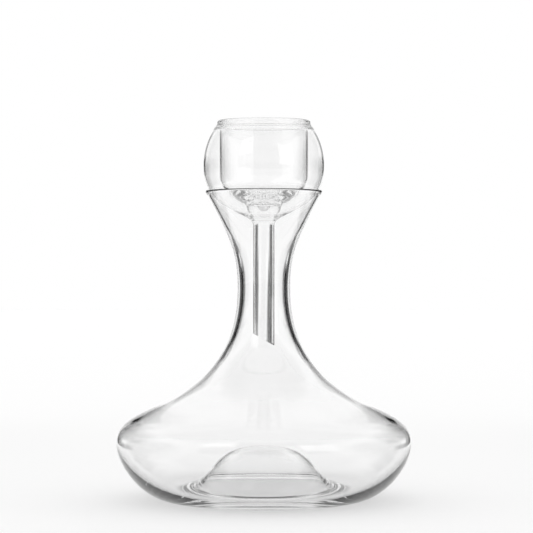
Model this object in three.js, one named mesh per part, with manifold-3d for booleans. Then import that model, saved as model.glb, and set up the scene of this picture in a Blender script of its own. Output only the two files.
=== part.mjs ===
// Wine carafe with a lift-off aerating funnel, both in clear blown glass.
// Millimetres, +Z up. The origin lies on the table, under the middle of the foot.
import * as THREE from 'three';
import { mergeVertices } from 'three/addons/utils/BufferGeometryUtils.js';
import Module from 'manifold-3d';

const wasm = await Module();
wasm.setup();

// Carafe, outside: radii from the axis, heights above the table
const CARAFE_HEIGHT = 210;
const MOUTH_RADIUS = 39.7;
const FLARE_ANGLE = 28;         // mouth wall from upright, degrees
const WAIST_RADIUS = 17.9;
const WAIST_HEIGHT = 143;
const SHOULDER_RADIUS = 59;     // where the hollow neck line turns into the round shoulder
const SHOULDER_HEIGHT = 71;
const SHOULDER_SLOPE = 28.5;    // from level, degrees
const BODY_RADIUS = 100;
const BODY_HEIGHT = 39;         // of the widest line
const FOOT_RADIUS = 62;         // outer edge of the flat foot ring
const FOOT_RING_WIDTH = 14.5;

// Carafe, glass thickness
const LIP_WALL = 2.6;
const WAIST_WALL = 3.5;
const SHOULDER_WALL = 2.7;
const BODY_WALL = 1.3;
const BASE_WALL = 6;

// Punt: the dome pushed up into the base
const PUNT_HEIGHT = 39.2;       // wine side
const PUNT_WALL = 1.4;          // at its top
const PUNT_LEAN = 50;           // hollow at the foot ring, from level, degrees

// Funnel: heights from the widest line of the bulb
const RIM_RADIUS = 31.7;
const RIM_HEIGHT = 30.8;
const BEAD_HEIGHT = 4.5;        // fused bead that joins bulb and cup at the rim
const SEAM_SPREAD = 1.4;        // foot of the bead, and top of the bulb, beyond the rim
const BULB_BULGE = 9.5;         // widest line beyond the rim
const BULB_DROP = 41;           // down to the seal with the stem
const BULB_WALL = 1;
const CUP_WALL = 1.1;
const CUP_ROUND = 16;           // height of the cup's rounded bottom
const CUP_SLOPE = 18;           // underside of the cup where it meets the drain cone, degrees
const RIM_GAP = 2;              // air between cup and bulb under the bead
const BOSS_THICKNESS = 2.6;     // perforated middle of the cup's floor
const DRIP_RADIUS = 5.1;        // round drip point under the middle of the floor
const DRIP_LENGTH = 4.9;
const DRIP_SLOPE = 60;          // its side at the floor, from level, degrees
const HOLE_COUNT = 6;
const HOLE_RADIUS = 1.2;
const HOLE_MARGIN = 1.6;        // from the wall of the cone
const CONE_HEIGHT = 9.7;
const CONE_FLARE = 3.4;         // top of the drain cone beyond its foot
const CONE_FOOT_SPREAD = 1.4;   // foot of the drain cone beyond the stem
const CONE_FOOT_SLOPE = 60;     // from level, degrees
const CONE_WALL = 1.3;
const STEM_RADIUS = 7.2;
const STEM_WALL = 2;
const STEM_LENGTH = 81.5;       // to the long side of the tip
const STEM_SLANT = 30;          // tip from level, degrees

// Gap that seated glass keeps, measured level
const SEAT_GAP = 0.35;

// How hard each curve holds its end direction, as a share of the span it bridges
const HEEL_PULL = 0.366;
const BELLY_PULL = 0.288;
const EDGE_PULL = 0.285;
const SHOULDER_PULL = 0.55;
const SLOPE_PULL = 0.295;
const THROAT_PULL = 0.47;
const NECK_PULL = 0.365;
const FLARE_PULL = 0.525;
const PUNT_TOP_PULL = 0.6;
const PUNT_FOOT_PULL = 0.5;
const HOLLOW_TOP_PULL = 0.46;
const HOLLOW_FOOT_PULL = 0.38;
const BULB_PULL = 0.62;
const SEAL_PULL = 0.2;
const CUP_PULL = 0.3;
const DRIP_PULL = 0.45;
const CONE_PULL = 0.45;
const BEAD_PULL = 0.4;

// Facets
const CARAFE_SIDES = 48;
const FUNNEL_SIDES = 40;
const STEM_SIDES = 24;
const HOLE_SIDES = 16;
const WALL_STEPS = 7;           // along each curve of a wall
const ROUND_STEPS = 5;          // along a lip, a bead or a rounded corner
const FINE_STEPS = 200;         // along a curve that only finds a seat
const SAME_POINT = 0.01;        // points closer than this are one point

const UP = new THREE.Vector2(0, 1);
const DOWN = new THREE.Vector2(0, -1);
const OUT = new THREE.Vector2(1, 0);
const IN = new THREE.Vector2(-1, 0);

function at(radius, height) {
  return new THREE.Vector2(radius, height);
}

// Direction in the half plane of a revolve, as an angle from level
function heading(degrees) {
  const angle = THREE.MathUtils.degToRad(degrees);
  return at(Math.cos(angle), Math.sin(angle));
}

// Curve that leaves start along one direction and arrives at end along another
function sweep(start, leave, leavePull, end, arrive, arrivePull) {
  const span = start.distanceTo(end);
  const first = start.clone().addScaledVector(leave, leavePull * span);
  const second = end.clone().addScaledVector(arrive, -arrivePull * span);
  return new THREE.CubicBezierCurve(start, first, second, end);
}

// Quarter of an ellipse, or less, between two angles in degrees
function ellipseArc(centre, radiusAcross, radiusUp, from, to) {
  const start = THREE.MathUtils.degToRad(from);
  const end = THREE.MathUtils.degToRad(to);
  return new THREE.EllipseCurve(centre.x, centre.y, radiusAcross, radiusUp, start, end, end < start);
}

// Points of one outline, without the doubles where its curves and corners meet
function outline(...pieces) {
  const points = pieces.flat();
  return points.filter((point, i) => i === 0 || point.distanceTo(points[i - 1]) > SAME_POINT);
}

function revolve(points, sides) {
  const geometry = new THREE.LatheGeometry(points, sides);
  geometry.rotateX(Math.PI / 2);
  return geometry;
}

// Height at which an outline that widens upwards reaches a radius
function heightAtRadius(points, radius) {
  const i = points.findIndex((point, k) => k > 0 && point.x >= radius);
  const share = (radius - points[i - 1].x) / (points[i].x - points[i - 1].x);
  return THREE.MathUtils.lerp(points[i - 1].y, points[i].y, share);
}

function toSolid(geometry) {
  const bare = geometry.clone();
  bare.deleteAttribute('normal');
  bare.deleteAttribute('uv');
  const merged = mergeVertices(bare);
  const corners = merged.index.array;
  const triangles = [];
  for (let i = 0; i < corners.length; i += 3) {
    const [a, b, c] = corners.slice(i, i + 3);
    if (a !== b && b !== c && c !== a) triangles.push(a, b, c);
  }
  return new wasm.Manifold(new wasm.Mesh({
    numProp: 3,
    vertProperties: merged.attributes.position.array,
    triVerts: Uint32Array.from(triangles),
  }));
}

function toGeometry(solid) {
  const mesh = solid.getMesh();
  const geometry = new THREE.BufferGeometry();
  geometry.setAttribute('position', new THREE.BufferAttribute(mesh.vertProperties, 3));
  geometry.setIndex(new THREE.BufferAttribute(mesh.triVerts, 1));
  return geometry;
}

function clearGlass(color) {
  const glass = new THREE.MeshStandardMaterial({ color, roughness: 0.03, metalness: 0 });
  glass.transparent = true;
  glass.opacity = 0.35;
  return glass;
}

function named(name, geometry, color) {
  const mesh = new THREE.Mesh(geometry, clearGlass(color));
  mesh.name = name;
  return mesh;
}

// Outside of the carafe from foot to lip, as tangent curves with the wall at either end
const flare = heading(90 - FLARE_ANGLE);
const slope = heading(180 - SHOULDER_SLOPE);
const lipRound = LIP_WALL / 2;
const lipCentre = at(MOUTH_RADIUS - lipRound, CARAFE_HEIGHT - lipRound);
const foot = at(FOOT_RADIUS, 0);
const belly = at(BODY_RADIUS, BODY_HEIGHT);
const shoulder = at(SHOULDER_RADIUS, SHOULDER_HEIGHT);
const waist = at(WAIST_RADIUS, WAIST_HEIGHT);
const lip = lipCentre.clone().addScaledVector(heading(-FLARE_ANGLE), lipRound);
const carafeWall = [
  { curve: sweep(foot, OUT, HEEL_PULL, belly, UP, BELLY_PULL), walls: [BASE_WALL, BODY_WALL] },
  { curve: sweep(belly, UP, EDGE_PULL, shoulder, slope, SHOULDER_PULL), walls: [BODY_WALL, SHOULDER_WALL] },
  { curve: sweep(shoulder, slope, SLOPE_PULL, waist, UP, THROAT_PULL), walls: [SHOULDER_WALL, WAIST_WALL] },
  { curve: sweep(waist, UP, NECK_PULL, lip, flare, FLARE_PULL), walls: [WAIST_WALL, LIP_WALL] },
];

// Wine side of one curve of the wall: each point moved in square to the outside
function wineSide({ curve, walls }, steps) {
  return curve.getPoints(steps).map((point, i) => {
    const along = curve.getTangent(i / steps);
    const inward = at(-along.y, along.x);
    const share = THREE.MathUtils.smoothstep(i / steps, 0, 1);
    return point.addScaledVector(inward, THREE.MathUtils.lerp(walls[0], walls[1], share));
  });
}

const lipArc = ellipseArc(lipCentre, lipRound, lipRound, -FLARE_ANGLE, 180 - FLARE_ANGLE);

function carafe() {
  const hollowTop = at(0, PUNT_HEIGHT - PUNT_WALL);
  const ringEdge = at(FOOT_RADIUS - FOOT_RING_WIDTH, 0);
  const puntTop = at(0, PUNT_HEIGHT);
  const puntFoot = at(FOOT_RADIUS, BASE_WALL);
  const hollow = sweep(hollowTop, OUT, HOLLOW_TOP_PULL, ringEdge, heading(-PUNT_LEAN), HOLLOW_FOOT_PULL);
  const punt = sweep(puntFoot, IN, PUNT_FOOT_PULL, puntTop, IN, PUNT_TOP_PULL);
  const outside = carafeWall.map(({ curve }) => curve.getPoints(WALL_STEPS));
  const inside = carafeWall.map((piece) => wineSide(piece, WALL_STEPS));
  const profile = outline(
    hollow.getPoints(WALL_STEPS),
    ...outside,
    lipArc.getPoints(ROUND_STEPS),
    ...inside.reverse().map((points) => points.reverse()),
    punt.getPoints(WALL_STEPS),
  );
  return named('carafe', revolve(profile, CARAFE_SIDES), 0xe6ecec);
}

// Bulb of the funnel: an upper ellipse from the seam and a tulip line down to the stem
const seamHeight = RIM_HEIGHT - BEAD_HEIGHT;
const seamRadius = RIM_RADIUS + SEAM_SPREAD;
const bulbRadius = RIM_RADIUS + BULB_BULGE;
const stemBore = STEM_RADIUS - STEM_WALL;
const seal = at(STEM_RADIUS, -BULB_DROP);
const sealBore = at(stemBore, -BULB_DROP);

function bulbTop(topRadius, widest) {
  const lean = Math.acos(topRadius / widest);
  const rise = seamHeight / Math.sin(lean);
  return ellipseArc(at(0, 0), widest, rise, THREE.MathUtils.radToDeg(lean), 0);
}

const bulbShoulder = bulbTop(seamRadius, bulbRadius);
const bulbOutside = sweep(at(bulbRadius, 0), DOWN, BULB_PULL, seal, DOWN, SEAL_PULL);
const bulbInside = sweep(at(bulbRadius - BULB_WALL, 0), DOWN, BULB_PULL, sealBore, DOWN, SEAL_PULL);

function funnelBulb() {
  const inside = bulbTop(seamRadius - BULB_WALL, bulbRadius - BULB_WALL).getPoints(WALL_STEPS);
  const profile = outline(
    inside,
    bulbInside.getPoints(WALL_STEPS),
    bulbOutside.getPoints(WALL_STEPS).reverse(),
    bulbShoulder.getPoints(WALL_STEPS).reverse(),
    [inside[0].clone()],
  );
  return named('funnel_bulb', revolve(profile, FUNNEL_SIDES), 0xe9eeee);
}

// Drain cone: a round-sided bowl that stands in the throat of the bulb, just clear of its wall
const coneFootRadius = STEM_RADIUS + CONE_FOOT_SPREAD;
const coneTopRadius = coneFootRadius + CONE_FLARE;
const throat = bulbInside.getPoints(FINE_STEPS).reverse();
const coneFoot = heightAtRadius(throat, coneFootRadius + SEAT_GAP);
const coneTop = coneFoot + CONE_HEIGHT;

function funnelCone() {
  const edge = at(coneFootRadius, coneFoot);
  const side = sweep(edge, heading(CONE_FOOT_SLOPE), CONE_PULL, at(coneTopRadius, coneTop), UP, CONE_PULL);
  const outside = side.getPoints(ROUND_STEPS);
  const inside = outside.map((point) => at(point.x - CONE_WALL, point.y));
  const profile = outline(outside, inside.reverse(), [edge.clone()]);
  return named('funnel_drain_cone', revolve(profile, FUNNEL_SIDES), 0xeaf0f0);
}

// Cup: straight wall, round bottom, a perforated boss over the cone and the bead at the rim
function funnelCup() {
  const outerRadius = seamRadius - BULB_WALL - RIM_GAP;
  const innerRadius = outerRadius - CUP_WALL;
  const floor = coneTop + BOSS_THICKNESS;
  const roundFrom = floor + CUP_ROUND;
  const beadRound = (RIM_RADIUS - innerRadius) / 2;
  const beadCentre = at(RIM_RADIUS - beadRound, RIM_HEIGHT - beadRound);
  const drip = sweep(
    at(0, coneTop - DRIP_LENGTH), OUT, DRIP_PULL,
    at(DRIP_RADIUS, coneTop), heading(DRIP_SLOPE), DRIP_PULL,
  );
  const underside = sweep(
    at(coneTopRadius, coneTop), heading(CUP_SLOPE), CUP_PULL,
    at(outerRadius, roundFrom), UP, CUP_PULL,
  );
  const beadSide = sweep(
    at(seamRadius, seamHeight), bulbShoulder.getTangent(0).negate(), BEAD_PULL,
    at(RIM_RADIUS, beadCentre.y), UP, BEAD_PULL,
  );
  const profile = outline(
    drip.getPoints(ROUND_STEPS),
    underside.getPoints(WALL_STEPS),
    [at(outerRadius, seamHeight)],
    beadSide.getPoints(ROUND_STEPS),
    ellipseArc(beadCentre, beadRound, beadRound, 0, 180).getPoints(2 * ROUND_STEPS),
    ellipseArc(at(0, roundFrom), innerRadius, CUP_ROUND, 0, -90).getPoints(WALL_STEPS),
  );
  let cup = toSolid(revolve(profile, FUNNEL_SIDES));
  const pitch = coneTopRadius - CONE_WALL - HOLE_MARGIN - HOLE_RADIUS;
  for (let i = 0; i < HOLE_COUNT; i += 1) {
    const turn = 2 * Math.PI * i / HOLE_COUNT;
    const drill = new THREE.CylinderGeometry(HOLE_RADIUS, HOLE_RADIUS, 4 * BOSS_THICKNESS, HOLE_SIDES);
    drill.rotateX(Math.PI / 2);
    drill.translate(pitch * Math.sin(turn), -pitch * Math.cos(turn), floor);
    cup = cup.subtract(toSolid(drill));
  }
  return named('funnel_cup', toGeometry(cup), 0xe8eded);
}

// Stem: a drain tube sealed under the bulb, with its tip ground at a slant, long side at +X
function funnelStem() {
  const low = -BULB_DROP - STEM_LENGTH;
  const profile = [
    at(STEM_RADIUS, low),
    seal,
    sealBore,
    at(stemBore, low),
    at(STEM_RADIUS, low),
  ];
  const size = 4 * STEM_LENGTH;
  const grinder = new THREE.BoxGeometry(size, size, size);
  grinder.translate(0, 0, -size / 2);
  grinder.rotateY(THREE.MathUtils.degToRad(STEM_SLANT));
  grinder.translate(STEM_RADIUS, 0, low);
  const stem = toSolid(revolve(profile, STEM_SIDES)).subtract(toSolid(grinder));
  return named('funnel_stem', toGeometry(stem), 0xe4eaea);
}

// The funnel drops into the mouth until the first point of its bulb is a seat gap from the wall
function seatHeight() {
  const mouth = outline(wineSide(carafeWall.at(-1), FINE_STEPS), lipArc.getPoints(FINE_STEPS).reverse());
  const rounded = mouth.filter((point) => point.x <= lipCentre.x);
  const reach = rounded.at(-1).x - SEAT_GAP;
  const seats = bulbOutside.getPoints(FINE_STEPS)
    .filter((point) => point.x < reach && point.x + SEAT_GAP > rounded[0].x)
    .map((point) => heightAtRadius(rounded, point.x + SEAT_GAP) - point.y);
  return Math.max(...seats);
}

const funnel = new THREE.Group();
funnel.add(funnelBulb(), funnelCup(), funnelCone(), funnelStem());
funnel.position.z = seatHeight();

const wineCarafe = new THREE.Group();
wineCarafe.add(carafe(), funnel);

export default wineCarafe;
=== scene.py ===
"""Looks of a wine carafe with a lift-off aerating funnel, both in clear glass. Metres, +Z up."""
import math

import bmesh
import bpy
from mathutils import Matrix, Vector
from mathutils.geometry import interpolate_bezier


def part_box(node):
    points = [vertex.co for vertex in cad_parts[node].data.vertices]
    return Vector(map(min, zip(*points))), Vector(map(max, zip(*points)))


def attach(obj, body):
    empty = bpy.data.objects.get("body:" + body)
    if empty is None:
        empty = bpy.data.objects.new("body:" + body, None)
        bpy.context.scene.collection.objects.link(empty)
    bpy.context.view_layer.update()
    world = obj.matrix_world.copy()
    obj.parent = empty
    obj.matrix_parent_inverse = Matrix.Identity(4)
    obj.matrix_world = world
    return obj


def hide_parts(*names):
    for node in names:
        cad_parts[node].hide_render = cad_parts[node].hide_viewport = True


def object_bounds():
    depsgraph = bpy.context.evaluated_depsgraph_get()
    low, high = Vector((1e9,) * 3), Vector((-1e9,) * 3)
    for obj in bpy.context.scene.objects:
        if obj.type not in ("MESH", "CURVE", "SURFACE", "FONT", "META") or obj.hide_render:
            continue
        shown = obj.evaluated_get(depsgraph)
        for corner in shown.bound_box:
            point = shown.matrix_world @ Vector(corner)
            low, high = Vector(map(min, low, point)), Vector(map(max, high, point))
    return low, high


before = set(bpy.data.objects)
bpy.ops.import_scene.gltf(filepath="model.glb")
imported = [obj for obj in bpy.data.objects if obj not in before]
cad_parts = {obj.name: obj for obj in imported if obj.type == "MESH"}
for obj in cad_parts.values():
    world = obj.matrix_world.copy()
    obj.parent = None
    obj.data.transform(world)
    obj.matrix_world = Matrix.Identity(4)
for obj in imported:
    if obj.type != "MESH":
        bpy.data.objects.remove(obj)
cad_low, cad_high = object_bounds()

# Corners of the funnel's nodes in the CAD, which the outer sizes of the glass follow
bulb_low, bulb_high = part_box("funnel_bulb")
cup_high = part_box("funnel_cup")[1]
cone_low, cone_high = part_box("funnel_drain_cone")
stem_low, stem_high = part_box("funnel_stem")

# Carafe, outside: radii from the axis, heights above the table, angles in degrees
CARAFE_HEIGHT = 0.210
MOUTH_RADIUS = 0.0397
FLARE_ANGLE = 28
WAIST_RADIUS = 0.0179
WAIST_HEIGHT = 0.143
SHOULDER_RADIUS = 0.059
SHOULDER_HEIGHT = 0.071
SHOULDER_SLOPE = 28.5
BODY_RADIUS = cad_high.x
BODY_HEIGHT = 0.039
FOOT_RADIUS = 0.062
FOOT_RING_WIDTH = 0.0145

# Carafe, thickness of the glass, and the punt that rises in its base
LIP_WALL = 0.0019
WAIST_WALL = 0.0040
SHOULDER_WALL = 0.0027
BODY_WALL = 0.0013
BASE_WALL = 0.0036
PUNT_HEIGHT = 0.0392
PUNT_WALL = 0.0010
PUNT_LEAN = 50

# Funnel: bulb, cup, drain holes, drip point, cone and stem
SEAM_RADIUS = cup_high.x
SEAM_SPREAD = 0.0014
RIM_RADIUS = SEAM_RADIUS - SEAM_SPREAD
RIM_TOP = cup_high.z
BULB_RADIUS = bulb_high.x
BULB_DROP = 0.041
BULB_WALL = 0.001
CUP_WALL = 0.0011
CUP_ROUND = 0.016
CUP_SLOPE = 18
RIM_GAP = 0.002
BOSS_THICKNESS = 0.0026
DRIP_RADIUS = 0.0051
DRIP_LENGTH = 0.0049
DRIP_SLOPE = 60
HOLE_COUNT = 6
HOLE_RADIUS = 0.0012
HOLE_MARGIN = 0.0016
CONE_FOOT_SPREAD = 0.0014
CONE_FOOT_SLOPE = 60
CONE_WALL = 0.0013
FUSED_ROUND = 0.0015
STEM_RADIUS = stem_high.x
STEM_WALL = 0.0026
STEM_SLANT = 30
TIP_BEVEL = 0.0003

# Funnel: radii and heights that follow from those
WIDEST = bulb_low.z + BULB_DROP
SEAM = bulb_high.z
CONE_FOOT = cone_low.z
CONE_FOOT_RADIUS = STEM_RADIUS + CONE_FOOT_SPREAD
CONE_TOP = cone_high.z
CONE_TOP_RADIUS = cone_high.x
STEM_TOP = stem_high.z
STEM_TIP = stem_low.z
STEM_BORE = STEM_RADIUS - STEM_WALL
CUP_OUTER = SEAM_RADIUS - BULB_WALL - RIM_GAP
CUP_INNER = CUP_OUTER - CUP_WALL
CUP_BASE = CONE_TOP + BOSS_THICKNESS
HOLE_PITCH = CONE_TOP_RADIUS - CONE_WALL - HOLE_MARGIN - HOLE_RADIUS
DRILL_LENGTH = 4 * BOSS_THICKNESS

# How hard each curve holds its end direction, as a share of the span it bridges
HEEL_PULL = 0.366
BELLY_PULL = 0.288
EDGE_PULL = 0.285
SHOULDER_PULL = 0.55
SLOPE_PULL = 0.295
THROAT_PULL = 0.47
NECK_PULL = 0.365
FLARE_PULL = 0.525
PUNT_TOP_PULL = 0.6
PUNT_FOOT_PULL = 0.5
HOLLOW_TOP_PULL = 0.46
HOLLOW_FOOT_PULL = 0.38
BULB_PULL = 0.62
SEAL_PULL = 0.2
CUP_PULL = 0.3
DRIP_PULL = 0.45
CONE_PULL = 0.45
BEAD_PULL = 0.4
FUSED_PULL = 0.4

# Fineness of the meshes
CARAFE_SIDES = 256
FUNNEL_SIDES = 192
HOLE_SIDES = 48
WALL_STEPS = 30
ROUND_STEPS = 16
TIP_BEVEL_STEPS = 3
SAME_POINT = 0.000001
CREASE_ANGLE = 35

# Camera: level, far off, with the carafe a little left of the middle of the picture
PICTURE_SIDE = 533
AXIS_PIXEL = 263.85
CAMERA_DISTANCE = 1.36
CAMERA_HEIGHT = 0.1582
FOCAL_PIXELS = 2000
SENSOR_WIDTH = 36

# Light paths: enough bounces for a wall of glass behind another, and sharp reflections
LIGHT_BOUNCES = 32
MIRROR_BOUNCES = 16
MIRROR_BLUR = 0.0

# Glass: its tint, how it bends light, and the width and height of its ripple
CARAFE_TINT = "#fdfdfd"
CARAFE_IOR = 1.52
CARAFE_RIPPLE_WIDTH = 0.040
CARAFE_RIPPLE_HEIGHT = 0.000010
FUNNEL_TINT = "#ffffff"
FUNNEL_IOR = 1.47
FUNNEL_RIPPLE_WIDTH = 0.020
FUNNEL_RIPPLE_HEIGHT = 0.000004

# Stage: a white floor in a white room, lit from all round and a little more from behind
FLOOR_RADIUS = 6.0
FLOOR_SIDES = 96
FLOOR_COLOUR = "#fdfdfd"
ROOM_COLOUR = "#ffffff"
ROOM_STRENGTH = 1.0
FLOOR_LIGHT = 1.03
BACK_LIGHT = 0.3
SHADE_STRENGTH = 0.66
ONE_BOUNCE = 1

# Sheets at either side: front, back, low and top edge, and how far the card takes to fade in from each
BLACK_CARD = "#282828"
DIM_CARD = "#a0a0a0"
SIDE_CARD_ACROSS = 0.30
SHEET_GAP = 0.001
WALL_EDGES = (-0.02, 0.80, 0.06, 0.30)
WALL_FADES = ((0.1, 0.35), (0.05, 0.08))
MIDDLE_EDGES = (0.24, 0.80, -0.10, 0.13)
MIDDLE_FADES = ((0.08, 0.25), (0.02, 0.04))
SKIRT_EDGES = (0.06, 0.40, -0.10, 0.05)
SKIRT_FADES = ((0.08, 0.1), (0.02, 0.025))
BAND_EDGES = (0.36, 1.05, 0.20, 0.315)
BAND_FADES = ((0.08, 0.2), (0.04, 0.035))
UPPER_EDGES = (0.42, 1.25, 0.27, 0.47)
UPPER_FADES = ((0.1, 0.15), (0.05, 0.06))

# Grey cards overhead and behind the camera's place, with wide soft edges
GREY_CARD = "#c0c0c0"
GREY_FADES = ((0.4, 0.4), (0.4, 0.4))
TOP_CARD_UP = 1.0
TOP_CARD_REACH = 1.2
TOP_CARD_BACK = 0.7
FRONT_CARD_BACK = -1.7
FRONT_CARD_REACH = 2.2

# Bright windows in front: left and right edge, distance back from the axis, low and top edge
WINDOW_COLOUR = "#ffffff"
WINDOW_STRENGTH = 1.6
LEFT_WINDOW = (-0.70, -0.22, -0.60, 0.42, 0.95)
RIGHT_WINDOW = (0.53, 1.66, -1.00, 0.20, 1.40)
WINDOW_FADES = ((0.06, 0.06), (0.06, 0.06))

# Directions in the half plane of a spin, and turns
UP = Vector((0, 0, 1))
DOWN = -UP
OUT = Vector((1, 0, 0))
IN = -OUT
ORIGIN = (0, 0, 0)
QUARTERS = 4
QUARTER_TURN = math.tau / QUARTERS

# Turn of a card that stands square to X, to Y or to Z
CARD_TURNS = ((QUARTER_TURN, 0, QUARTER_TURN), (QUARTER_TURN, 0, 0), (0, 0, 0))


def at(radius, height):
    """A point of a profile, in the half plane that is spun round the axis."""
    return Vector((radius, 0, height))


def heading(degrees):
    """A direction in that half plane, as an angle from level."""
    return at(math.cos(math.radians(degrees)), math.sin(math.radians(degrees)))


def sweep(start, leave, leave_pull, end, arrive, arrive_pull):
    """Points of a curve that leaves start along one direction and arrives at end along another."""
    span = (end - start).length
    first = start + leave * leave_pull * span
    second = end - arrive * arrive_pull * span
    return interpolate_bezier(start, first, second, end, WALL_STEPS + 1)


def arc(centre, across, up, begin, end):
    """Points of an ellipse between two angles in degrees."""
    angles = [math.radians(begin + (end - begin) * i / ROUND_STEPS) for i in range(ROUND_STEPS + 1)]
    return [centre + at(across * math.cos(a), up * math.sin(a)) for a in angles]


def wine_side(outside, walls):
    """The inner face of a wall: each point of the outside moved in square to it by the wall there."""
    last = len(outside) - 1
    inside = []
    for i, point in enumerate(outside):
        along = (outside[min(i + 1, last)] - outside[max(i - 1, 0)]).normalized()
        inside.append(point + Vector((-along.z, 0, along.x)) * walls[i])
    return inside


def quarter_spin(bm, points, sides):
    """A line of points turned a quarter round the axis."""
    line = [bm.verts.new(point) for point in points]
    edges = [bm.edges.new(pair) for pair in zip(line, line[1:])]
    steps = sides // QUARTERS
    bmesh.ops.spin(bm, geom=line + edges, cent=ORIGIN, axis=UP, angle=QUARTER_TURN, steps=steps)


def whole_turn(bm):
    """Sets three turned copies beside a quarter, so that it goes once round the axis."""
    quarter = bm.verts[:] + bm.edges[:] + bm.faces[:]
    for i in range(1, QUARTERS):
        copy = bmesh.ops.duplicate(bm, geom=quarter)["geom"]
        verts = [part for part in copy if isinstance(part, bmesh.types.BMVert)]
        bmesh.ops.rotate(bm, verts=verts, cent=ORIGIN, matrix=Matrix.Rotation(i * QUARTER_TURN, 3, "Z"))
    bmesh.ops.remove_doubles(bm, verts=bm.verts, dist=SAME_POINT)


def close_shell(bm):
    """Takes out faces without area, which spinning leaves at the axis, and turns the others outwards."""
    bmesh.ops.dissolve_degenerate(bm, edges=bm.edges, dist=SAME_POINT)
    bmesh.ops.recalc_face_normals(bm, faces=bm.faces)


def finished_mesh(bm, name):
    mesh = bpy.data.meshes.new(name)
    bm.to_mesh(mesh)
    bm.free()
    return mesh


def place(mesh, material, body, slot, *nodes):
    """Puts a finished mesh in the scene as the piece that stands for these nodes."""
    mesh.polygons.foreach_set("use_smooth", [True] * len(mesh.polygons))
    mesh.set_sharp_from_angle(angle=math.radians(CREASE_ANGLE))
    mesh.materials.append(material)
    piece = bpy.data.objects.new(mesh.name, mesh)
    bpy.context.scene.collection.objects.link(piece)
    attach(piece, body)
    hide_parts(*nodes)


def blend_walls(first, last):
    """Wall at each point of a curve that goes smoothly from one thickness to another."""
    shares = [i / WALL_STEPS for i in range(WALL_STEPS + 1)]
    return [first + (last - first) * share * share * (3 - 2 * share) for share in shares]


def carafe_mesh():
    """The blown vessel: four tangent curves from foot to lip, the inner face, and the punt."""
    flare = heading(90 - FLARE_ANGLE)
    slope = heading(180 - SHOULDER_SLOPE)
    lip_round = LIP_WALL / 2
    lip_centre = at(MOUTH_RADIUS - lip_round, CARAFE_HEIGHT - lip_round)
    foot = at(FOOT_RADIUS, 0)
    belly = at(BODY_RADIUS, BODY_HEIGHT)
    shoulder = at(SHOULDER_RADIUS, SHOULDER_HEIGHT)
    waist = at(WAIST_RADIUS, WAIST_HEIGHT)
    lip = lip_centre + heading(-FLARE_ANGLE) * lip_round
    curves = (
        (sweep(foot, OUT, HEEL_PULL, belly, UP, BELLY_PULL), BASE_WALL, BODY_WALL),
        (sweep(belly, UP, EDGE_PULL, shoulder, slope, SHOULDER_PULL), BODY_WALL, SHOULDER_WALL),
        (sweep(shoulder, slope, SLOPE_PULL, waist, UP, THROAT_PULL), SHOULDER_WALL, WAIST_WALL),
        (sweep(waist, UP, NECK_PULL, lip, flare, FLARE_PULL), WAIST_WALL, LIP_WALL),
    )
    outside = [foot]
    walls = [BASE_WALL]
    for points, first, last in curves:
        outside += points[1:]
        walls += blend_walls(first, last)[1:]
    hollow_top = at(0, PUNT_HEIGHT - PUNT_WALL)
    ring_edge = at(FOOT_RADIUS - FOOT_RING_WIDTH, 0)
    hollow = sweep(hollow_top, OUT, HOLLOW_TOP_PULL, ring_edge, heading(-PUNT_LEAN), HOLLOW_FOOT_PULL)
    lip_arc = arc(lip_centre, lip_round, lip_round, -FLARE_ANGLE, 180 - FLARE_ANGLE)
    inside = wine_side(outside, walls)
    inside.reverse()
    punt = sweep(at(FOOT_RADIUS, BASE_WALL), IN, PUNT_FOOT_PULL, at(0, PUNT_HEIGHT), IN, PUNT_TOP_PULL)
    bm = bmesh.new()
    quarter_spin(bm, hollow + outside + lip_arc[1:-1] + inside + punt[1:], CARAFE_SIDES)
    whole_turn(bm)
    close_shell(bm)
    return finished_mesh(bm, "carafe_glass")


def bulb_wall(rim_radius, widest, seal):
    """One face of the bulb: an upper ellipse from the rim, then a tulip line down to the stem."""
    lean = math.degrees(math.acos(rim_radius / widest))
    rise = (SEAM - WIDEST) / math.sin(math.radians(lean))
    upper = arc(at(0, WIDEST), widest, rise, lean, 0)
    lower = sweep(at(widest, WIDEST), DOWN, BULB_PULL, at(seal, STEM_TOP), DOWN, SEAL_PULL)
    return upper + lower[1:]


def cone_wall(inset):
    """One face of the drain cone, a round-sided bowl, from its foot up."""
    foot = at(CONE_FOOT_RADIUS - inset, CONE_FOOT)
    top = at(CONE_TOP_RADIUS - inset, CONE_TOP)
    return sweep(foot, heading(CONE_FOOT_SLOPE), CONE_PULL, top, UP, CONE_PULL)


def fused(before, after):
    """The round that melting leaves between the end of one line of points and the start of the next."""
    leave = (before[-1] - before[-2]).normalized()
    arrive = (after[1] - after[0]).normalized()
    return sweep(before[-1], leave, FUSED_PULL, after[0], arrive, FUSED_PULL)[1:-1]


def grind_tip(bm):
    """Cuts the stem at a slant, long side at +X, and closes the ring between its two walls."""
    slant = math.radians(STEM_SLANT)
    everything = bm.verts[:] + bm.edges[:] + bm.faces[:]
    cut = bmesh.ops.bisect_plane(
        bm, geom=everything, dist=SAME_POINT, plane_co=(STEM_RADIUS, 0, STEM_TIP),
        plane_no=(math.sin(slant), 0, math.cos(slant)), clear_inner=True)
    rims = [part for part in cut["geom_cut"] if isinstance(part, bmesh.types.BMEdge)]
    bmesh.ops.bridge_loops(bm, edges=rims)
    bmesh.ops.bevel(
        bm, geom=rims, offset=TIP_BEVEL, affect="EDGES", segments=TIP_BEVEL_STEPS, profile=0.5, material=-1)


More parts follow.
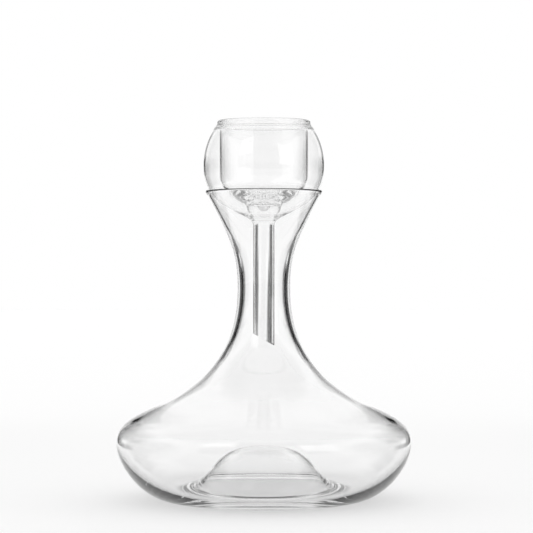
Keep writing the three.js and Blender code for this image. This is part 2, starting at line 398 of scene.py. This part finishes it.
def funnel_skin():
    """Every face of the funnel that wine or hand can reach, down to the ground tip of the stem."""
    cup_floor = arc(at(0, CUP_BASE + CUP_ROUND), CUP_INNER, CUP_ROUND, -90, 0)
    bead_round = (RIM_RADIUS - CUP_INNER) / 2
    rim = arc(at(RIM_RADIUS - bead_round, RIM_TOP - bead_round), bead_round, bead_round, 180, 0)
    bulb = bulb_wall(SEAM_RADIUS, BULB_RADIUS, STEM_RADIUS)
    side = sweep(rim[-1], DOWN, BEAD_PULL, bulb[0], (bulb[1] - bulb[0]).normalized(), BEAD_PULL)
    stem_end = at(STEM_RADIUS, STEM_TIP - STEM_RADIUS)
    outside = cup_floor + rim + side[1:] + bulb[1:] + [stem_end]
    cone = cone_wall(CONE_WALL)
    throat = sweep(at(STEM_BORE, STEM_TOP), UP, FUSED_PULL, cone[0], heading(CONE_FOOT_SLOPE), FUSED_PULL)
    drip_edge = at(DRIP_RADIUS, CONE_TOP)
    drip_point = at(0, CONE_TOP - DRIP_LENGTH)
    drip = sweep(drip_edge, heading(180 + DRIP_SLOPE), DRIP_PULL, drip_point, IN, DRIP_PULL)
    bore = [at(STEM_BORE, stem_end.z)] + throat + cone[1:] + drip
    bm = bmesh.new()
    quarter_spin(bm, outside, FUNNEL_SIDES)
    quarter_spin(bm, bore, FUNNEL_SIDES)
    whole_turn(bm)
    grind_tip(bm)
    close_shell(bm)
    return finished_mesh(bm, "funnel_skin")


def funnel_cavity():
    """The sealed air space between bulb and cup, as a shell whose faces look into it."""
    round_from = at(CUP_OUTER, CUP_BASE + CUP_ROUND)
    under = sweep(at(CONE_TOP_RADIUS, CONE_TOP), heading(CUP_SLOPE), CUP_PULL, round_from, UP, CUP_PULL)
    under = [point for point in under if point.x > CONE_TOP_RADIUS + FUSED_ROUND]
    half_gap = RIM_GAP / 2
    top = arc(at(CUP_OUTER + half_gap, SEAM - half_gap), half_gap, half_gap, 180, 0)
    bulb = bulb_wall(SEAM_RADIUS - BULB_WALL, BULB_RADIUS - BULB_WALL, STEM_BORE)
    bulb = [point for point in bulb if point.z < SEAM - half_gap]
    bulb = [point for point in bulb if point.x > CONE_FOOT_RADIUS + FUSED_ROUND]
    cone = [point for point in cone_wall(0) if CONE_FOOT + FUSED_ROUND < point.z < CONE_TOP - FUSED_ROUND]
    profile = under + top + bulb + fused(bulb, cone) + cone + fused(cone, under)
    bm = bmesh.new()
    quarter_spin(bm, profile + profile[:1], FUNNEL_SIDES)
    whole_turn(bm)
    close_shell(bm)
    bmesh.ops.reverse_faces(bm, faces=bm.faces)
    return finished_mesh(bm, "funnel_cavity")


def drain_holes():
    """Round drills that stand in the floor of the cup, one for each hole."""
    bm = bmesh.new()
    for i in range(HOLE_COUNT):
        turn = Matrix.Rotation(math.tau * i / HOLE_COUNT, 4, "Z")
        spot = turn @ Matrix.Translation((0, -HOLE_PITCH, CUP_BASE))
        bmesh.ops.create_cone(
            bm, cap_ends=True, segments=HOLE_SIDES, radius1=HOLE_RADIUS, radius2=HOLE_RADIUS,
            depth=DRILL_LENGTH, matrix=spot)
    return finished_mesh(bm, "drain_holes")


def cut_away(mesh, drill_mesh):
    """The mesh with the drill's space taken out of it."""
    body = bpy.data.objects.new("body_to_drill", mesh)
    drill = bpy.data.objects.new("drill", drill_mesh)
    for part in (body, drill):
        bpy.context.scene.collection.objects.link(part)
    boolean = body.modifiers.new("holes", "BOOLEAN")
    boolean.operation = "DIFFERENCE"
    boolean.solver = "MANIFOLD"
    boolean.object = drill
    drilled = bpy.data.meshes.new_from_object(body.evaluated_get(bpy.context.evaluated_depsgraph_get()))
    for part in (body, drill):
        bpy.data.objects.remove(part)
    return drilled


def funnel_mesh():
    """The fused funnel: one body of glass, with its sealed air space inside."""
    bm = bmesh.new()
    bm.from_mesh(cut_away(funnel_skin(), drain_holes()))
    bm.from_mesh(funnel_cavity())
    return finished_mesh(bm, "funnel_glass")


def linear(hex_colour):
    """An sRGB colour such as #f0f4f4 as the linear numbers that a shader takes."""
    parts = [int(hex_colour[i:i + 2], 16) / 255 for i in (1, 3, 5)]
    curve = [part / 12.92 if part <= 0.04045 else ((part + 0.055) / 1.055) ** 2.4 for part in parts]
    return (*curve, 1)


def add_node(tree, kind, settings=(), values=(), links=()):
    """One node: its own settings, numbers on its inputs, and the outputs that feed its inputs."""
    node = tree.nodes.new(kind)
    for name, value in dict(settings).items():
        setattr(node, name, value)
    for name, value in dict(values).items():
        node.inputs[name].default_value = value
    for name, source in dict(links).items():
        tree.links.new(source, node.inputs[name])
    return node


def empty_tree(owner):
    """The node tree of a material or a world, with nothing in it."""
    owner.use_nodes = True
    owner.node_tree.nodes.clear()
    return owner.node_tree


def clear_glass(name, tint, ior, ripple_width, ripple_height):
    """Clear glass, fire polished: mirror smooth, with the slow ripple that blowing leaves."""
    material = bpy.data.materials.new(name)
    tree = empty_tree(material)
    coordinates = add_node(tree, "ShaderNodeTexCoord")
    ripple = add_node(
        tree, "ShaderNodeTexNoise", values={"Scale": 1 / ripple_width, "Detail": 1.0},
        links={"Vector": coordinates.outputs["Object"]})
    bump = add_node(
        tree, "ShaderNodeBump", values={"Strength": 1.0, "Distance": ripple_height},
        links={"Height": ripple.outputs["Fac"]})
    glass = add_node(
        tree, "ShaderNodeBsdfPrincipled",
        values={"Base Color": linear(tint), "Roughness": 0.0, "IOR": ior, "Transmission Weight": 1.0},
        links={"Normal": bump.outputs["Normal"]})
    add_node(tree, "ShaderNodeOutputMaterial", links={"Surface": glass.outputs["BSDF"]})
    return material


def stage_piece(bm, name, material):
    """A floor or card, which isn't part of the carafe."""
    piece = bpy.data.objects.new(name, finished_mesh(bm, name))
    bpy.context.scene.collection.objects.link(piece)
    piece.data.materials.append(material)
    return piece


def floor():
    """Matt white paint: no shine, so that only the carafe's soft shadow shows on it."""
    bm = bmesh.new()
    bmesh.ops.create_circle(bm, cap_ends=True, segments=FLOOR_SIDES, radius=FLOOR_RADIUS)
    material = bpy.data.materials.new("matt_white_floor")
    tree = empty_tree(material)
    matt = add_node(tree, "ShaderNodeBsdfDiffuse", values={"Color": linear(FLOOR_COLOUR)})
    add_node(tree, "ShaderNodeOutputMaterial", links={"Surface": matt.outputs[0]})
    stage_piece(bm, "floor", material)


def camera():
    """Looks level along +Y, with the lens shifted so that the axis falls on its pixel."""
    lens = bpy.data.cameras.new("camera")
    lens.sensor_width = SENSOR_WIDTH
    lens.lens = FOCAL_PIXELS * SENSOR_WIDTH / PICTURE_SIDE
    lens.shift_x = (PICTURE_SIDE / 2 - AXIS_PIXEL) / PICTURE_SIDE
    eye = bpy.data.objects.new("camera", lens)
    eye.location = (0, -CAMERA_DISTANCE, CAMERA_HEIGHT)
    eye.rotation_euler = (QUARTER_TURN, 0, 0)
    bpy.context.scene.collection.objects.link(eye)
    bpy.context.scene.camera = eye
    return eye


def card_paper(name, halves, colour, fades, strength):
    """Evenly lit card that fades out towards its edges and is gone for light from the floor."""
    material = bpy.data.materials.new(name)
    tree = empty_tree(material)
    coordinates = add_node(tree, "ShaderNodeTexCoord")
    path = add_node(tree, "ShaderNodeLightPath")
    parts = add_node(tree, "ShaderNodeSeparateXYZ", links={0: coordinates.outputs["Object"]})
    before_floor = add_node(
        tree, "ShaderNodeMath", {"operation": "LESS_THAN"}, {1: ONE_BOUNCE},
        {0: path.outputs["Diffuse Depth"]})
    shares = [before_floor]
    for axis, half, pair in zip((0, 1), halves, fades):
        for edge, fade in ((-half, pair[0]), (half, -pair[1])):
            shares.append(add_node(
                tree, "ShaderNodeMapRange", {"interpolation_type": "SMOOTHSTEP"},
                {"From Min": edge, "From Max": edge + fade}, {"Value": parts.outputs[axis]}))
    solid = shares[0]
    for share in shares[1:]:
        solid = add_node(
            tree, "ShaderNodeMath", {"operation": "MULTIPLY"},
            links={0: solid.outputs[0], 1: share.outputs[0]})
    clear = add_node(tree, "ShaderNodeBsdfTransparent")
    paper = add_node(tree, "ShaderNodeEmission", values={"Color": linear(colour), "Strength": strength})
    faded = add_node(
        tree, "ShaderNodeMixShader", links={0: solid.outputs[0], 1: clear.outputs[0], 2: paper.outputs[0]})
    add_node(tree, "ShaderNodeOutputMaterial", links={"Surface": faded.outputs[0]})
    return material


def card_stand(eye):
    """Stands on the carafe's axis and turns to face the camera. It carries the cards."""
    stand = bpy.data.objects.new("card_stand", None)
    bpy.context.scene.collection.objects.link(stand)
    facing = stand.constraints.new("LOCKED_TRACK")
    facing.target = eye
    facing.track_axis = "TRACK_NEGATIVE_Y"
    facing.lock_axis = "LOCK_Z"
    return stand


def card(stand, name, low, high, colour, fades, strength=1):
    """A flat card between two corners. Only the glass sees it."""
    spans = [b - a for a, b in zip(low, high)]
    halves = [span / 2 for span in spans if span > 0]
    bm = bmesh.new()
    bmesh.ops.create_grid(bm, x_segments=1, y_segments=1, size=1)
    bmesh.ops.scale(bm, verts=bm.verts, vec=(*halves, 1))
    piece = stage_piece(bm, name, card_paper(name, halves, colour, fades, strength))
    piece.location = (Vector(low) + Vector(high)) / 2
    piece.rotation_euler = CARD_TURNS[spans.index(0)]
    piece.parent = stand
    piece.visible_camera = False
    piece.visible_diffuse = False


def cards(stand):
    """Dark sheets at the sides draw the lines of clear glass, and the other cards are its reflections."""
    sheets = (
        ("wall", WALL_EDGES, WALL_FADES, BLACK_CARD),
        ("middle", MIDDLE_EDGES, MIDDLE_FADES, BLACK_CARD),
        ("skirt", SKIRT_EDGES, SKIRT_FADES, BLACK_CARD),
        ("band", BAND_EDGES, BAND_FADES, BLACK_CARD),
        ("upper", UPPER_EDGES, UPPER_FADES, DIM_CARD))
    for i, (name, (front, back, low, top), fades, colour) in enumerate(sheets):
        for side, sign in (("left", -1), ("right", 1)):
            across = sign * (SIDE_CARD_ACROSS + i * SHEET_GAP)
            card(stand, f"{side}_{name}", (across, front, low), (across, back, top), colour, fades)
    card(
        stand, "top_card", (-TOP_CARD_REACH, FRONT_CARD_BACK, TOP_CARD_UP),
        (TOP_CARD_REACH, TOP_CARD_BACK, TOP_CARD_UP), GREY_CARD, GREY_FADES)
    card(
        stand, "front_card", (-FRONT_CARD_REACH, FRONT_CARD_BACK, -FRONT_CARD_REACH),
        (FRONT_CARD_REACH, FRONT_CARD_BACK, FRONT_CARD_REACH), GREY_CARD, GREY_FADES)
    windows = (("left_window", LEFT_WINDOW), ("right_window", RIGHT_WINDOW))
    for name, (left, right, back, low, top) in windows:
        card(
            stand, name, (left, back, low), (right, back, top),
            WINDOW_COLOUR, WINDOW_FADES, WINDOW_STRENGTH)


def white_room():
    """White to the camera and in the glass. Light that reaches the floor through glass is dimmer."""
    world = bpy.data.worlds.new("white_room")
    bpy.context.scene.world = world
    tree = empty_tree(world)
    white = linear(ROOM_COLOUR)
    path = add_node(tree, "ShaderNodeLightPath")
    coordinates = add_node(tree, "ShaderNodeTexCoord")
    parts = add_node(tree, "ShaderNodeSeparateXYZ", links={0: coordinates.outputs["Generated"]})
    from_back = add_node(
        tree, "ShaderNodeMath", {"operation": "MULTIPLY_ADD"},
        {1: BACK_LIGHT * FLOOR_LIGHT, 2: FLOOR_LIGHT}, {0: parts.outputs["Y"]})
    dimmed = add_node(
        tree, "ShaderNodeMath", {"operation": "MULTIPLY"}, {1: SHADE_STRENGTH}, {0: from_back.outputs[0]})
    after_floor = add_node(
        tree, "ShaderNodeMath", {"operation": "MINIMUM"}, {1: ONE_BOUNCE},
        {0: path.outputs["Diffuse Depth"]})
    room = add_node(tree, "ShaderNodeBackground", values={"Color": white, "Strength": ROOM_STRENGTH})
    dome = add_node(
        tree, "ShaderNodeBackground", values={"Color": white}, links={"Strength": from_back.outputs[0]})
    shade = add_node(
        tree, "ShaderNodeBackground", values={"Color": white}, links={"Strength": dimmed.outputs[0]})
    lit = add_node(
        tree, "ShaderNodeMixShader",
        links={0: path.outputs["Is Diffuse Ray"], 1: shade.outputs[0], 2: dome.outputs[0]})
    seen = add_node(
        tree, "ShaderNodeMixShader",
        links={0: after_floor.outputs[0], 1: room.outputs[0], 2: lit.outputs[0]})
    add_node(tree, "ShaderNodeOutputWorld", links={"Surface": seen.outputs[0]})


# Blown crystal glass: bright and all but colourless, with wide slow ripples that bend its lines a little
carafe_glass = clear_glass(
    "blown_crystal_glass", CARAFE_TINT, CARAFE_IOR, CARAFE_RIPPLE_WIDTH, CARAFE_RIPPLE_HEIGHT)

# Lampworked borosilicate glass: clearer, drawn from tube, with lighter lines and a closer, lower ripple
funnel_glass = clear_glass(
    "lampworked_borosilicate_glass", FUNNEL_TINT, FUNNEL_IOR, FUNNEL_RIPPLE_WIDTH, FUNNEL_RIPPLE_HEIGHT)

place(carafe_mesh(), carafe_glass, "vessel", "carafe_glass", "carafe")
place(
    funnel_mesh(), funnel_glass, "funnel", "funnel_glass",
    "funnel_bulb", "funnel_cup", "funnel_drain_cone", "funnel_stem")

floor()
cards(card_stand(camera()))
white_room()

scene = bpy.context.scene
scene.view_settings.view_transform = "Standard"
scene.cycles.max_bounces = LIGHT_BOUNCES
scene.cycles.transmission_bounces = LIGHT_BOUNCES
scene.cycles.glossy_bounces = MIRROR_BOUNCES
scene.cycles.blur_glossy = MIRROR_BLUR
